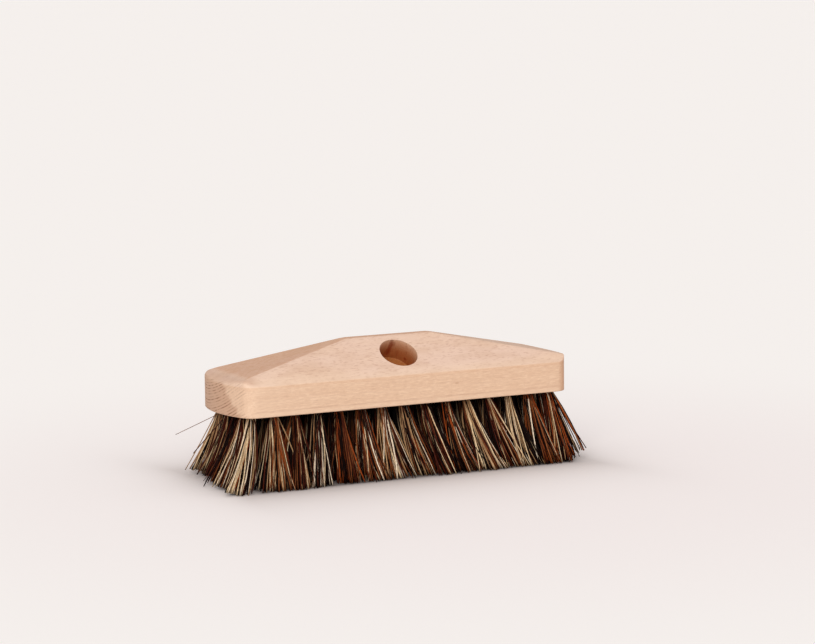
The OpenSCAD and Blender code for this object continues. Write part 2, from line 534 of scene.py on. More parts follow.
@dataclass(frozen=True)
class BeechFinish:
    """Raw planed beech: annual rings, ray flecks, soft mottling, darker end grain, a rough bore and some
    painted shade and highlight.
    """

    # Colours
    pale: Rgb = (240, 206, 176)
    deep: Rgb = (226, 187, 155)
    fleck: Rgb = (172, 116, 88)
    rosy: Rgb = (235, 203, 185)
    end_grain: Rgb = (210, 171, 143)
    cut_grain_and_shade: Rgb = (206, 150, 112)
    pale_grain_and_highlight: Rgb = (250, 220, 192)
    ring_line: Rgb = (142, 94, 66)
    torn: Rgb = (132, 44, 6)
    bore_floor: Rgb = (174, 111, 60)
    # Colours of the socket's wall, by share of its depth
    bore: tuple = (
        (0.0, (230, 190, 156)),
        (0.08, (222, 176, 142)),
        (0.22, (203, 150, 114)),
        (0.33, (190, 132, 94)),
        (0.47, (178, 113, 72)),
        (0.60, (170, 101, 58)),
        (0.73, (166, 96, 52)),
        (1.0, (158, 90, 44)),
    )

    # Surface: specular level, roughness and its swing with the grain, relief's strength and depth
    specular: float = 0.25
    roughness: float = 0.60
    roughness_swing: float = 0.06
    relief_strength: float = 0.35
    relief_depth: float = 0.12

    # Patterns
    drift: Grain = Grain((0.005, 0.018, 0.018))
    fine: Grain = Grain((0.06, 1.3, 1.3), 3.0, 0.6)
    dash: Grain = Grain((0.32, 1.1, 1.1))
    pore: Grain = Grain((0.8, 4.5, 4.5))
    grit: Grain = Grain((0.22, 1.4, 1.5), 3.0, 0.65)
    tick: Grain = Grain((1.5, 1.5, 0.7), 2.0, 0.6)
    mottle: Grain = Grain((0.045, 0.11, 0.11), 3.0, 0.6)
    blush: Grain = Grain((0.014, 0.05, 0.05))
    patches: Grain = Grain((0.0, 0.22, 0.30))
    bore_chatter: Grain = Grain((0.25, 0.25, 1.4), 3.0, 0.65)
    bore_grain: Grain = Grain((1.3, 1.3, 0.25), 3.0, 0.6)

    # Annual rings: shells round a pith that runs along the block, high above it
    pith: Triple = (0.0, 18.6, 120.6)
    ring_pitch: float = 1.7
    ring_drift: float = 4.5

    # Stretches along the block over which a tone comes or goes
    left_end: Span = (-90.0, -80.0)
    shaded_rounding: Span = (-108.0, -97.0)
    shaded_right_end: Span = (90.0, 100.0)
    right_hip: Span = (36.0, 60.0)
    middle: Span = (-60.0, 60.0)
    whole: Span = (-120.0, 120.0)

    # Tone change on the left end: where it meets the underside, and its rise and run
    boundary: Triple = (-26.0, 0.743, 0.669)
    # Height of the growth line on the walls over the underside
    growth_line: float = 4.2
    knot: Triple = (31.4, -33.0, 53.9)
    knot_half: Triple = (1.7, 1.2, 0.6)
    tears: tuple = (
        Tear(86.0, 6.0, (1.7, 2.4, 7.5), 0.68),
        Tear(91.0, 10.0, (2.2, 2.4, 3.4), 0.55),
        Tear(78.0, 4.5, (1.6, 1.6, 2.2), 0.35),
        Tear(31.0, 11.8, (1.1, 1.1, 1.1), 0.80),
    )

    def material(self, block: "Block") -> bpy.types.Material:
        """Builds the material on Object coordinates.

        Args:
            block: the block, whose sizes place the marks.

        Returns:
            The material.
        """
        n = Nodes("raw_beech")
        wood = self.patterns(n, block)
        colour = self.planed(n, wood)
        colour = self.wall_marks(n, wood, block, colour)
        colour = self.end_marks(n, wood, block, colour)
        colour, bore = self.bored(n, wood.place, block, colour)
        relief = n.math("SUBTRACT", n.product(wood.fine, 0.5), n.product(wood.dashes, 0.5))
        relief = n.math("MULTIPLY_ADD", bore, n.noise(wood.place, 1.4, 3.0, 0.6), relief)
        swing = self.roughness_swing
        return n.dress({
            "Base Color": colour,
            "Specular IOR Level": self.specular,
            "Roughness": n.between(wood.fine, self.roughness - swing, self.roughness + swing),
            "Normal": n.bump(relief, self.relief_strength, self.relief_depth),
        })

    def patterns(self, n: Nodes, block: "Block") -> Wood:
        """Lays out the places and patterns that several marks share.

        A ring's number is the distance from the pith, with some drift, over the rings' pitch. Its
        bands are a noise of that number, and its lines a sine of it.

        Args:
            n: the material's nodes.
            block: the block.

        Returns:
            The places and patterns.
        """
        place = n.millimetres()
        x, y, z = n.axes(place)
        facing = n.axes(n.add("TexCoord").outputs["Normal"])
        drift = self.drift.at(n, place)
        from_pith = n.length(n.vector("SUBTRACT", n.stretched(place, (0.0, 1.0, 1.0)), self.pith))
        ring = n.math("DIVIDE", n.math("MULTIPLY_ADD", drift, self.ring_drift, from_pith), self.ring_pitch)
        ring_point = n.add("CombineXYZ", {0: ring}).outputs[0]
        wave = n.math("SINE", n.product(ring, 2 * math.pi))
        top = block.under_z + block.wall_h
        return Wood(
            place=place,
            x=x,
            y=y,
            z=z,
            upward=facing[2],
            endward=n.math("ABSOLUTE", facing[0]),
            drift=drift,
            bands=n.step(n.noise(ring_point, 0.45), 0.35, 0.65),
            lines=n.product(n.step(wave, 0.0, 1.0), n.step(n.noise(ring_point, 0.8, 1.0), 0.3, 0.6)),
            fine=self.fine.at(n, place),
            dashes=n.step(self.dash.at(n, place), 0.53, 0.68),
            roof=n.step(z, top - 0.2, top + 0.3),
        )

    def planed(self, n: Nodes, wood: Wood) -> Socket:
        """Colours the planed wood: bands, fine grain, grit and, most of all on the slopes, flecks.

        Args:
            n: the material's nodes.
            wood: the places and patterns.

        Returns:
            The colour.
        """
        grit = self.grit.at(n, wood.place)
        tick = self.tick.at(n, wood.place)
        blush = n.step(self.blush.at(n, wood.place), 0.35, 0.62, 0.55, 1.0)
        mottle = n.step(self.mottle.at(n, wood.place), 0.42, 0.66)
        pores = n.step(self.pore.at(n, wood.place), 0.60, 0.78)
        return n.layers(linear(self.pale), [
            (n.product(wood.bands, 0.35), self.deep),
            (n.product(n.step(wood.fine, 0.38, 0.70), 0.40), self.deep),
            (n.product(wood.lines, 0.05), self.ring_line),
            (n.step(wood.x, *self.whole, 0.0, 0.45), self.deep),
            (n.step(grit, 0.46, 0.68, 0.0, 0.30), self.end_grain),
            (n.step(grit, 0.32, 0.50, 0.46, 0.0), self.pale_grain_and_highlight),
            (n.step(tick, 0.50, 0.72, 0.0, 0.14), self.end_grain),
            (n.product(blush, n.between(wood.roof, 0.05, 0.80)), self.rosy),
            (n.product(mottle, n.between(wood.roof, 0.10, 0.32)), self.end_grain),
            (n.product(wood.dashes, n.between(wood.roof, 0.08, 0.28)), self.fleck),
            (n.product(pores, 0.12), self.fleck),
        ])

    def wall_marks(self, n: Nodes, wood: Wood, block: "Block", colour: Socket) -> Socket:
        """Colours the edge between walls and slopes, with a painted highlight just above it, and the growth
        line and knot in the long walls.

        Args:
            n: the material's nodes.
            wood: the places and patterns.
            block: the block.
            colour: the colour below.

        Returns:
            The colour.
        """
        top = block.under_z + block.wall_h
        # Painted highlight on the slopes just above the edge
        foot = n.product(wood.roof, n.step(wood.z, top + 1.0, top + 6.0, 0.26, 0.0))
        edge = n.product(n.step(wood.z, top - 2.6, top - 1.0, 0.0, 0.14),
                         n.step(wood.z, top - 0.4, top, 1.0, 0.0))
        long_wall = n.step(wood.endward, 0.15, 0.5, 1.0, 0.0)
        level = n.math("SUBTRACT", wood.z, block.under_z + self.growth_line)
        level = n.math("MULTIPLY_ADD", wood.drift, 2.0, level)
        low_band = n.step(level, -0.5, 0.1, 0.17, 0.0)
        seam = n.product(n.step(n.math("ABSOLUTE", level), 0.2, 1.1, 0.17, 0.0),
                         n.step(wood.fine, 0.40, 0.60, 0.3, 1.0))
        return n.layers(colour, [
            (foot, self.pale_grain_and_highlight),
            (edge, self.cut_grain_and_shade),
            (n.product(low_band, long_wall), self.pale_grain_and_highlight),
            (n.product(seam, long_wall), self.fleck),
            (n.product(n.mark(wood.place, self.knot, self.knot_half), 0.30), self.fleck),
        ])

    def end_marks(self, n: Nodes, wood: Wood, block: "Block", colour: Socket) -> Socket:
        """Colours the hips and the two ends, where the rings are cut across.

        On the left end a straight, slanting boundary parts the end grain from a bright face. Painted shade
        darkens the rounded top of the left end, the right end's corner and, in part, the left hip.

        Args:
            n: the material's nodes.
            wood: the places and patterns.
            block: the block.
            colour: the colour below.

        Returns:
            The colour.
        """
        start, rise, run = self.boundary
        fall = n.math("SUBTRACT", n.product(n.math("SUBTRACT", wood.y, start), rise),
                      n.product(n.math("SUBTRACT", wood.z, block.under_z), run))
        fall = n.math("MULTIPLY_ADD", wood.bands, 2.6, n.math("SUBTRACT", fall, 1.3))
        bright = n.product(n.step(wood.x, *self.left_end, 1.0, 0.0), n.step(fall, -1.8, 1.8, 1.0, 0.0))
        # The hips are darker and oranger where the rings are cut across; on the left hip this is partly
        # painted shade, thinning out towards the right hip
        hips = n.product(n.step(wood.upward, 0.93, 0.97), n.step(wood.fine, 0.30, 0.70, 0.38, 0.72),
                         n.step(wood.x, *self.right_hip, 1.0, 0.25))
        # Painted shade round the right end's corner, which turns away from the key light
        right = n.product(n.step(wood.x, *self.shaded_right_end), n.step(wood.endward, 0.06, 0.60))
        # Painted shade on the rounded top of the rubbed-down left end
        rubbed = n.product(n.step(wood.x, *self.shaded_rounding, 0.30, 0.0), n.step(wood.upward, 0.50, 0.80),
                           n.step(wood.upward, 0.92, 0.96, 1.0, 0.0))
        cut_end = n.step(wood.endward, 0.60, 0.95)
        uneven = n.product(n.step(self.patches.at(n, wood.place), 0.38, 0.62, 0.15, 1.0),
                           n.step(wood.x, *self.middle, 1.0, 0.6))
        return n.layers(colour, [
            (n.product(bright, 0.12), self.pale_grain_and_highlight),
            (hips, self.cut_grain_and_shade),
            (n.product(right, 0.50), self.cut_grain_and_shade),
            (rubbed, self.fleck),
            (n.product(cut_end, n.between(bright, 1.0, 0.15)), self.end_grain),
            (n.product(wood.lines, uneven, cut_end, n.between(bright, 0.95, 0.40)), self.ring_line),
        ])

    def bored(self, n: Nodes, place: Socket, block: "Block", colour: Socket) -> tuple[Socket, Socket]:
        """Colours the inside of the handle socket: darker cut wood, with a torn streak down the upper wall.

        Args:
            n: the material's nodes.
            place: place in millimetres.
            block: the block, whose sizes place the socket.
            colour: the wood's colour outside the socket.

        Returns:
            The colour with the socket's inside, and a mask of the inside.
        """
        mouth, tilt = block.socket_mouth, block.tilt
        r, depth = block.socket_d / 2, block.socket_depth
        inner = n.local(place, mouth, tilt=tilt)
        height = n.axes(inner)[2]
        from_axis = n.length(n.stretched(inner, (1.0, 1.0, 0.0)))
        bore = n.product(n.step(from_axis, r + 0.02, r + 0.15, 1.0, 0.0),
                         n.step(height, -0.5, -0.15, 1.0, 0.0), n.step(height, -depth - 0.6, -depth - 0.3))
        inward = n.math("SUBTRACT", n.math("DIVIDE", height, -depth), 0.13)
        inward = n.math("MULTIPLY_ADD", self.bore_chatter.at(n, inner), 0.26, inward)
        layers = [
            (n.step(height, -depth + 0.1, -depth + 0.4, 1.0, 0.0), self.bore_floor),
            (n.step(self.bore_grain.at(n, inner), 0.48, 0.75, 0.0, 0.50), self.torn),
        ]
        for tear in self.tears:
            side = math.radians(tear.angle)
            spot = Vector((r * math.cos(side), r * math.sin(side), -tear.depth))
            spot = Matrix.Rotation(tilt, 3, "X") @ spot + Vector(mouth)
            layers.append((n.product(n.mark(place, tuple(spot), tear.half, tilt), tear.share), self.torn))
        cut_wood = n.layers(n.ramp(inward, self.bore), layers)
        return n.blend(bore, colour, cut_wood), bore


@dataclass(frozen=True)
class FibreFinish:
    """Mixed plant fibre: each hair has one colour, with painted shade at the root, at the tip and deep inside
    the brush, and streaks along it.
    """

    shades: tuple = (
        (Hair.BLACK, (22, 4, 1)),
        (Hair.UMBER, (76, 27, 11)),
        (Hair.BROWN, (132, 74, 38)),
        (Hair.RUST, (158, 72, 26)),
        (Hair.TAN, (186, 146, 105)),
        (Hair.CREAM, (234, 205, 164)),
        (Hair.STRAW, (248, 226, 198)),
    )
    streak: Grain = Grain((1.3, 1.3, 0.10), 2.0, 0.6)
    # Brightness of the darkest and lightest streaks, and the painted shade at the mouth, at the tip and in
    # the dark middle
    streaks: Span = (0.72, 1.25)
    mouth_shade: float = 0.70
    tip_shade: float = 0.45
    inner_shade: float = 0.03
    specular: float = 0.09
    roughness: float = 0.50

    def material(self) -> bpy.types.Material:
        """Builds the material, which reads the attributes hair, along and deep of each piece; along and deep
        set its painted shade.

        Returns:
            The material.
        """
        n = Nodes("plant_fibre")
        stops = [(kind.value / len(Hair), shade) for kind, shade in self.shades]
        along = n.attribute("along")
        value = n.product(
            n.step(self.streak.at(n, n.millimetres()), 0.25, 0.75, *self.streaks),
            # Painted shade at the root, under the block, and at the tip, near the floor
            n.product(n.step(along, 0.0, 0.25, self.mouth_shade, 1.0),
                      n.step(along, 0.93, 1.0, 1.0, self.tip_shade)),
            # Painted shade deep inside the brush
            n.between(n.attribute("deep"), 1.0, self.inner_shade),
        )
        base = n.ramp(n.attribute("hair"), stops, steps=True)
        return n.dress({
            "Base Color": n.add("HueSaturation", {"Value": value, "Color": base}).outputs[0],
            "Specular IOR Level": self.specular,
            "Roughness": self.roughness,
        })


@dataclass(frozen=True)
class WireFinish:
    """Drawn flat steel wire."""

    colour: Rgb = (190, 190, 186)
    draw_lines: Grain = Grain((0.2, 9.0, 9.0))
    roughness: float = 0.35
    relief_strength: float = 0.3
    relief_depth: float = 0.03

    def material(self) -> bpy.types.Material:
        """Builds the material, with fine draw lines along the wire.

        Returns:
            The material.
        """
        n = Nodes("drawn_wire")
        return n.dress({
            "Base Color": linear(self.colour),
            "Metallic": 1.0,
            "Roughness": self.roughness,
            "Normal": n.bump(self.draw_lines.at(n, n.millimetres()), self.relief_strength, self.relief_depth),
        })


@dataclass(frozen=True)
class PaperFinish:
    """The pale seamless paper that the brush stands on, with places in metres.

    It glows a little, to the camera only, and less close to the brush, so that the shadow stays. The
    glow is dimmer round the brush and left out next to it, which paints a soft shadow there.
    """

    colour: Rgb = (232, 223, 221)
    roughness: float = 0.9
    specular: float = 0.1
    # The glow, from its centre out to the far paper; dimmer near the brush, as painted shade
    glow_near: Triple = (0.208, 0.202, 0.205)
    glow_far: Triple = (0.243, 0.264, 0.258)
    centre: Triple = (0.034, -0.068, 0.0)
    reach: Span = (0.116, 0.529)
    # Half sizes of the patch round the brush where the glow is left out, as a painted shadow, and how quickly
    # the glow comes back outside it
    shadow_footprint: Triple = (0.120, 0.056, 0.0)
    shadow_halo: Triple = (0.014, 0.035, 1.0)
    # The same for a painted contact shadow along the line where the tips stand on the paper
    contact_shadow_half: Triple = (0.104, 0.0425, 0.0)
    contact_shadow_fade: Triple = (0.006, 0.0045, 1.0)
    contact_shadow_colour: Rgb = (60, 46, 42)
    contact_shadow_share: float = 0.75

    def material(self) -> bpy.types.Material:
        """Builds the material.

        Returns:
            The material.
        """
        n = Nodes("pale_paper")
        place = n.add("TexCoord").outputs["Object"]
        # A painted contact shadow, darkest where the tips stand on the paper
        contact_shadow = n.product(n.fading(self.outside(n, place, self.contact_shadow_half, self.contact_shadow_fade)), self.contact_shadow_share)
        away = n.length(n.vector("SUBTRACT", place, self.centre))
        glow = n.blend(n.step(away, *self.reach), (*self.glow_near, 1), (*self.glow_far, 1))
        # Painted shadow: no glow right next to the brush
        glow = n.blend(n.fading(self.outside(n, place, self.shadow_footprint, self.shadow_halo)), glow, (0, 0, 0, 1))
        path = n.add("LightPath").outputs
        seen = n.math("MAXIMUM", path["Is Camera Ray"], path["Is Glossy Ray"])
        return n.dress({
            "Base Color": n.blend(contact_shadow, linear(self.colour), linear(self.contact_shadow_colour)),
            "Roughness": self.roughness,
            "Specular IOR Level": self.specular,
            "Emission Color": glow,
            "Emission Strength": n.math("MAXIMUM", seen, path["Is Transmission Ray"]),
        })

    def outside(self, n: Nodes, place: Socket, half: Triple, unit: Triple) -> Socket:
        """How far a place is outside a rectangle round the origin.

        Args:
            n: the material's nodes.
            place: the place.
            half: half sizes of the rectangle.
            unit: length that counts as 1, along each axis.

        Returns:
            The distance.
        """
        away = n.vector("SUBTRACT", n.vector("ABSOLUTE", place), half)
        away = n.vector("MAXIMUM", away, (0, 0, 0))
        return n.length(n.vector("DIVIDE", away, unit))


# The object


@dataclass
class Block:
    """The hipped wooden block, in millimetres. Length, width and height come from the frame."""

    length: float
    width: float
    height: float
    under_z: float
    wall_h: float = 18.5
    ridge_w: float = 6.0
    ridge_l: float = 58.0
    hip_drop: float = 18.0
    end_bow_r: float = 80.0
    corner_r: float = 9.0

    # Softened edges: the arris round the top with its fall over its width, the one below, and
    # the blends at the slopes and at the ridge's ends
    arris: float = 0.6
    arris_fall: float = 0.8
    under_arris: float = 0.6
    crease: float = 1.0
    ridge_crease: float = 0.6

    # The left end is rubbed down: its arris widens between two shares of the length, and its hip
    # falls further over the last stretch
    left_arris: float = 3.2
    left_widening: Span = (0.40, 0.47)
    left_drop: float = 2.4
    left_reach: float = 14.0

    # Handle socket
    socket_d: float = 24.0
    socket_depth: float = 15.0
    socket_y: float = 16.4
    socket_chamfer: float = 0.12
    socket_floor_round: float = 0.3
    socket_overcut: float = 1.5
    socket_sides: int = 128

    # Loops of points in the surface: their spacing, how many each edge and wall has, half the
    # middle line they close on as a share of the length, and where they lie below
    grain: float = 0.75
    arris_loops: int = 7
    wall_loops: int = 15
    under_loops: int = 4
    spine: float = 0.36
    base_loops: Triple = (0.66, 0.33, 0.0)
    sharp_from: float = 32.0

    @classmethod
    def from_frame(cls) -> "Block":
        """Reads the block's outer size from the frame.

        Returns:
            The block.
        """
        low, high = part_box("block")
        size = (high - low) / MM
        return cls(length=size.x, width=size.y, height=size.z, under_z=low.z / MM)

    @property
    def slope(self) -> float:
        """Rise over run of the two long slopes."""
        return (self.height - self.wall_h) / ((self.width - self.ridge_w) / 2)

    @property
    def tilt(self) -> float:
        """Angle of the long slopes, and of the socket from upright, in radians."""
        return math.atan(self.slope)

    @property
    def socket_mouth(self) -> Triple:
        """Middle of the socket's mouth, on the front slope."""
        rise = (self.width / 2 - self.socket_y) * self.slope
        return (0.0, -self.socket_y, self.under_z + self.wall_h + rise)

    def outline(self) -> tuple[np.ndarray, np.ndarray]:
        """The block's outline from above, anticlockwise, and its outward normals.

        One quarter is a straight wall, a corner arc and half of a bowed end. The other three
        quarters are its mirror images.

        Returns:
            Two arrays of shape (n, 2).
        """
        half_w = self.width / 2
        bow_x = self.length / 2 - self.end_bow_r
        corner_y = half_w - self.corner_r
        corner_x = bow_x + math.sqrt((self.end_bow_r - self.corner_r) ** 2 - corner_y**2)
        meet = math.atan2(corner_y, corner_x - bow_x)
        rest = math.pi / 2 - meet
        bow = np.linspace(0, meet, steps_along(self.end_bow_r * meet, self.grain), endpoint=False)
        arc = np.linspace(meet, math.pi / 2, steps_along(self.corner_r * rest, self.grain), endpoint=False)
        wall = np.linspace(corner_x, 0, steps_along(corner_x, self.grain))
        points = np.concatenate([
            unit_at(bow) * self.end_bow_r + (bow_x, 0),
            unit_at(arc) * self.corner_r + (corner_x, corner_y),
            np.stack([wall, np.full_like(wall, half_w)], -1),
        ])
        normals = np.concatenate([unit_at(bow), unit_at(arc), np.tile((0.0, 1.0), (len(wall), 1))])
        return mirrored(points), mirrored(normals)

    def roof(self, x: np.ndarray, y: np.ndarray) -> np.ndarray:
        """Height of the roof over the underside: the lowest of slopes, hips and ridge, blended.

        The left hip falls off by a parabola over its last stretch, where it is rubbed down.

        Args:
            x: places along the block.
            y: places across it.

        Returns:
            The heights.
        """
        slopes = self.wall_h + (self.width / 2 - np.abs(y)) * self.slope
        fall = self.hip_drop / ((self.length - self.ridge_l) / 2)
        rubbed = np.clip((-x - self.length / 2 + self.left_reach) / self.left_reach, 0, None)
        hips = self.height - (np.abs(x) - self.ridge_l / 2) * fall - self.left_drop * rubbed**2
        along = soft_min(hips, np.full_like(hips, self.height), self.ridge_crease)
        return soft_min(slopes, along, self.crease)

    def upper_arris(self, x: np.ndarray) -> np.ndarray:
        """Width of the arris round the top, which widens in a smooth step round the left end.

        Args:
            x: places along the block.

        Returns:
            The widths.
        """
        rubbed = np.interp(-x, np.multiply(self.left_widening, self.length), (0.0, 1.0))
        return self.arris + (self.left_arris - self.arris) * rubbed**2 * (3 - 2 * rubbed)

    def surface(self) -> tuple[np.ndarray, np.ndarray]:
        """The outer surface, as loops from the middle of the roof, over the wall, to the middle below.

        Each loop is the outline drawn in along its normals, or towards the middle line. The two
        arrises are quarter ellipses: the loops lie by sine and cosine of the angle round them.

        Returns:
            Points of shape (n, 3) and quads.
        """
        outline, normal = self.outline()
        spine = self.spine * self.length
        middle = np.column_stack([np.clip(outline[:, 0], -spine, spine), np.zeros(len(outline))])
        arris = self.upper_arris(outline[:, 0])[:, None]

        out = np.linspace(0, 1, round(self.width / 2 / self.grain))[:, None, None]
        flat = middle + (outline - normal * arris - middle) * out
        roof = at_height(flat, self.roof(flat[..., 0], flat[..., 1]))

        angle = np.linspace(0, math.pi / 2, self.arris_loops + 1)[1:, None]
        flat = outline - normal * arris * (1 - np.sin(angle))[..., None]
        drop = self.arris_fall * arris[:, 0] * (1 - np.cos(angle))
        shoulder = at_height(flat, self.roof(flat[..., 0], flat[..., 1]) - drop)

        down = np.linspace(0, 1, self.wall_loops + 1)[1:, None]
        height = shoulder[-1, :, 2] * (1 - down) + self.under_arris * down
        wall = at_height(np.broadcast_to(outline, (*height.shape, 2)), height)

        angle = np.linspace(0, math.pi / 2, self.under_loops + 1)[1:, None]
        flat = outline - normal * self.under_arris * (1 - np.cos(angle))[..., None]
        hem = at_height(flat, self.under_arris * (1 - np.sin(angle)))
        base = at_height(middle + (hem[-1, :, :2] - middle) * np.reshape(self.base_loops, (-1, 1, 1)), 0.0)

        loops = np.concatenate([roof, shoulder, wall, hem, base])
        return loops.reshape(-1, 3) + (0, 0, self.under_z), grid_faces(len(loops), len(outline))[:, ::-1]

    def socket_cutter(self) -> bpy.types.Object:
        """The socket's inside: a turned profile with a small chamfer at the mouth, square to the front slope.

        Returns:
            The cutter.
        """
        r, floor = self.socket_d / 2, -self.socket_depth
        beyond, small = self.socket_overcut, self.socket_floor_round
        profile = [(0, floor), (r - small, floor), (r, floor + small), (r, -self.socket_chamfer),
                   (r + self.socket_chamfer + beyond, beyond), (0, beyond)]
        place = Matrix.Translation(self.socket_mouth) @ Matrix.Rotation(self.tilt, 4, "X")
        return turned_solid("socket_cutter", profile, self.socket_sides, [np.array(place)])

    def build(self, finish: bpy.types.Material, holes: "HolePlan") -> bpy.types.Object:
        """Makes the block, with its socket, tuft holes and anchor slots cut out.

        Args:
            finish: the wood's material.
            holes: where the tuft holes are.

        Returns:
            The finished block.
        """
        points, quads = self.surface()
        block = mesh_object("beech_block", points, [quads])
        tidy_mesh(block)
        for cutter in (self.socket_cutter, holes.hole_cutter, holes.slot_cutter):
            cut(block, cutter())
        block.data.set_sharp_from_angle(angle=math.radians(self.sharp_from))
        block.data.materials.clear()
        block.data.materials.append(finish)
        block.data.polygons.foreach_set("material_index", np.zeros(len(block.data.polygons), np.int32))
        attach(block, BODY)
        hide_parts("block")
        return block


@dataclass
class HolePlan:
    """Where the tuft holes and anchors are, in millimetres."""

    block: Block
    columns: int = 15
    rows: int = 5
    end_margin: float = 13.5
    side_margin: float = 12.0
    hole_d: float = 5.5
    hole_depth: float = 9.0
    hole_chamfer: float = 0.15
    hole_overcut: float = 1.0
    hole_sides: int = 24
    anchor_h: float = 2.2
    anchor_t: float = 0.5
    anchor_bite: float = 0.75
    anchor_gap: float = 0.03
    fold_t: float = 1.9

    @property
    def half(self) -> np.ndarray:
        """Distance from the middle of the block to the last column and to the outer rows."""
        return np.array([self.block.length / 2 - self.end_margin, self.block.width / 2 - self.side_margin])

    @property
    def anchor_top(self) -> float:
        """Height of the anchors' upper edges."""
        return self.block.under_z + self.hole_depth - self.fold_t

    def at(self, column: int, row: int) -> np.ndarray:
        """Centre of a hole."""
        return 2 * self.half * (column, row) / (self.columns - 1, self.rows - 1) - self.half

    def centres(self) -> list[np.ndarray]:
        """Centres of all holes."""
        return [self.at(column, row) for column in range(self.columns) for row in range(self.rows)]

    def hole_cutter(self) -> bpy.types.Object:
        """All tuft holes as round solids, with a small chamfer at the mouth.

        Returns:
            The cutter.
        """
        r, depth, chamfer = self.hole_d / 2, self.hole_depth, self.hole_chamfer
        profile = [(0, -self.hole_overcut), (r + chamfer, -self.hole_overcut), (r + chamfer, 0),
                   (r, chamfer), (r, depth), (0, depth)]
        places = [np.array(Matrix.Translation((*centre, self.block.under_z))) for centre in self.centres()]
        return turned_solid("hole_cutter", profile, self.hole_sides, places)

    def slot_cutter(self) -> bpy.types.Object:
        """The small slots that hold the anchors' ends.

        Returns:
            The cutter.
        """
        centres = at_height(np.array(self.centres()), self.anchor_top - self.anchor_h / 2)
        size = (self.hole_d + 2 * self.anchor_bite, self.anchor_t + 2 * self.anchor_gap, self.anchor_h)
        return box_solids("slot_cutter", centres, size)


@dataclass(frozen=True)
class FibreMix:
    """How much of each kind of fibre the tufts hold."""

    # Least and most pale and rusty fibre in a hidden tuft
    pale: Span = (0.10, 0.44)
    rust: Span = (0.02, 0.12)
    # Share of pale and of rusty fibre in the front row, from the second column to the last
    pale_front: tuple = (0.42, 0.30, 0.42, 0.12, 0.32, 0.46, 0.46, 0.12, 0.30, 0.46, 0.32, 0.34, 0.18, 0.34)
    rust_front: tuple = (0.03, 0.04, 0.03, 0.06, 0.08, 0.04, 0.14, 0.08, 0.10, 0.05, 0.12, 0.05, 0.26, 0.12)
    # The same in the first column, from the front row to the back
    pale_end: tuple = (0.60, 0.34, 0.32, 0.46, 0.64)
    rust_end: float = 0.01
    # How the dark fibre divides into black, umber and brown, and the pale into tan, cream and straw
    dark_parts: Triple = (0.60, 0.24, 0.16)
    pale_parts: Triple = (0.46, 0.36, 0.18)
    # Share of fibres that are of their clump's kind
    like_clump: float = 0.45

    def weights(self, column: int, row: int, rng: np.random.Generator) -> np.ndarray:
        """How much of each kind a tuft holds.

        Args:
            column: the tuft's column.
            row: the tuft's row.
            rng: source of random draws.

        Returns:
            The shares in the order of Hair, which add up to 1.
        """
        pale, rust = rng.uniform(*self.pale), rng.uniform(*self.rust)
        if column == 0:
            pale, rust = self.pale_end[row], self.rust_end
        elif row == 0:
            pale, rust = self.pale_front[column - 1], self.rust_front[column - 1]
        dark = 1 - pale - rust
        weights = np.array([*np.multiply(self.dark_parts, dark), rust, *np.multiply(self.pale_parts, pale)])
        return weights / weights.sum()

    def kinds(self, weights: np.ndarray, clump: np.ndarray, clumps: int,
              rng: np.random.Generator) -> np.ndarray:
        """Picks each fibre's kind. A clump is mostly of one kind, and the weights set the mix.

        Args:
            weights: the share of each kind.
            clump: clump number of each fibre.
            clumps: number of clumps.
            rng: source of random draws.

        Returns:
            The kinds' numbers.
        """
        main = rng.choice(len(Hair), clumps, p=weights)
        own = rng.choice(len(Hair), len(clump), p=weights)
        return np.where(rng.uniform(0, 1, len(clump)) < self.like_clump, main[clump], own)


@dataclass(frozen=True)
class Flare:
    """How the tufts' tips lean and scatter, in millimetres.

    A pair holds a value along the block and one across it. Longer rows hold one value for each row
    of tufts, from the front to the back, or for the places named with them.
    """

    # Lowest and highest place of a tip
    tip_low: Span = (-129.5, -47.0)
    tip_high: Span = (121.5, 47.0)
    # Lean along the block, by place along it: the tufts fan out from left of the middle
    lean_at: tuple = (-101.5, -72.0, -50.0, -25.0, 0.0, 30.0, 101.5)
    lean_by: tuple = (-6.5, -7.5, -4.0, 1.0, 6.0, 8.5, 4.5)
    # What the first column leans out on top of that
    left_lean: tuple = (11.5, 9.0, 5.0, -2.5, -3.0)
    # Lean of the front and of the back row, and the power by which it falls to the middle row
    front_splay: float = 19.0
    back_splay: float = 13.0
    splay_power: float = 0.6
    tuft_scatter: float = 0.9
    # How much wider a tuft is at its tips than at its root
    widening: Span = (2.25, 1.7)
    # Scatter of the clumps in the last column and in the others
    right_clump_scatter: float = 1.7
    clump_scatter: float = 2.6
    # Scatter of each tip, and of the share of tips that are loose
    own_scatter: Span = (2.8, 1.5)
    loose_share: float = 0.14
    loose_scatter: Span = (4.5, 2.5)
    # Height of the tips over the floor, and the most that the share of short ones adds to it
    trim_scatter: float = 0.35
    short_share: float = 0.12
    short_by: float = 4.0
    # What tips at the outer edge of the first and of the last column add to it, row by row, and
    # the most times that which tips further out add
    left_flick: tuple = (2.0, 2.0, 1.5, 1.5, 2.0)
    right_flick: tuple = (4.5, 4.0, 3.5, 3.0, 3.0)
    flick_limit: float = 1.3
    # Bend of the legs against their lean: a share of it by place along the block, and across it
    curl_at: tuple = (-101.5, -80.0, 80.0, 101.5)
    curl_by: tuple = (0.24, 0.08, 0.08, -0.20)
    curl_across: float = 0.08
    curl_limit: float = 2.2
    # Scatter of the legs' bends and waves, and the angle that a wave runs through
    bow_scatter: float = 0.85
    wave_scatter: float = 0.28
    wave_angle: float = 7.0


@dataclass(frozen=True)
class Stray:
    """One fibre that stands out from its tuft."""

    column: int
    row: int
    tip: Triple
    kind: Hair
    radius: float


